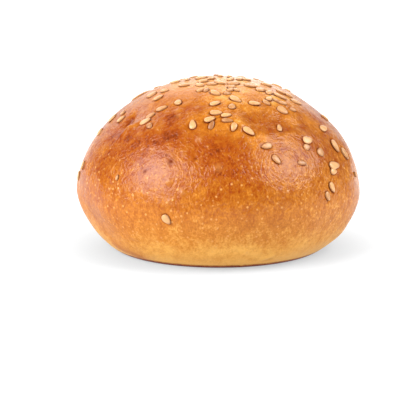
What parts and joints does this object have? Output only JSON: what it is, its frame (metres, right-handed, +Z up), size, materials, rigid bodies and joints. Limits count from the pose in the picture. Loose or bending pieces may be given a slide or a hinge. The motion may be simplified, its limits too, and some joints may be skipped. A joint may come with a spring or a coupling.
{
  "type": "sesame seed bread roll",
  "caption": "Round soft bread roll with a domed, egg-washed golden-brown crust, a flat underside and sesame seeds baked onto its crown and shoulders.",
  "frame": {"origin": "middle of the flat underside, on the surface that the roll stands on", "axes": "+X to the right and +Y to the back as the roll's folded, thinly seeded front face looks towards -Y; +Z up from the underside to the crown"},
  "size_m": [0.0807, 0.0797, 0.0488],
  "materials": {
    "crust": "egg-washed baked crust, satin gloss, golden brown on the dome and paler yellow at the foot",
    "sesame": "toasted hulled sesame seed, cream with a soft sheen"
  },
  "bodies": {
    "root": {"bread_roll": "crust"}
  },
  "joints": []
}
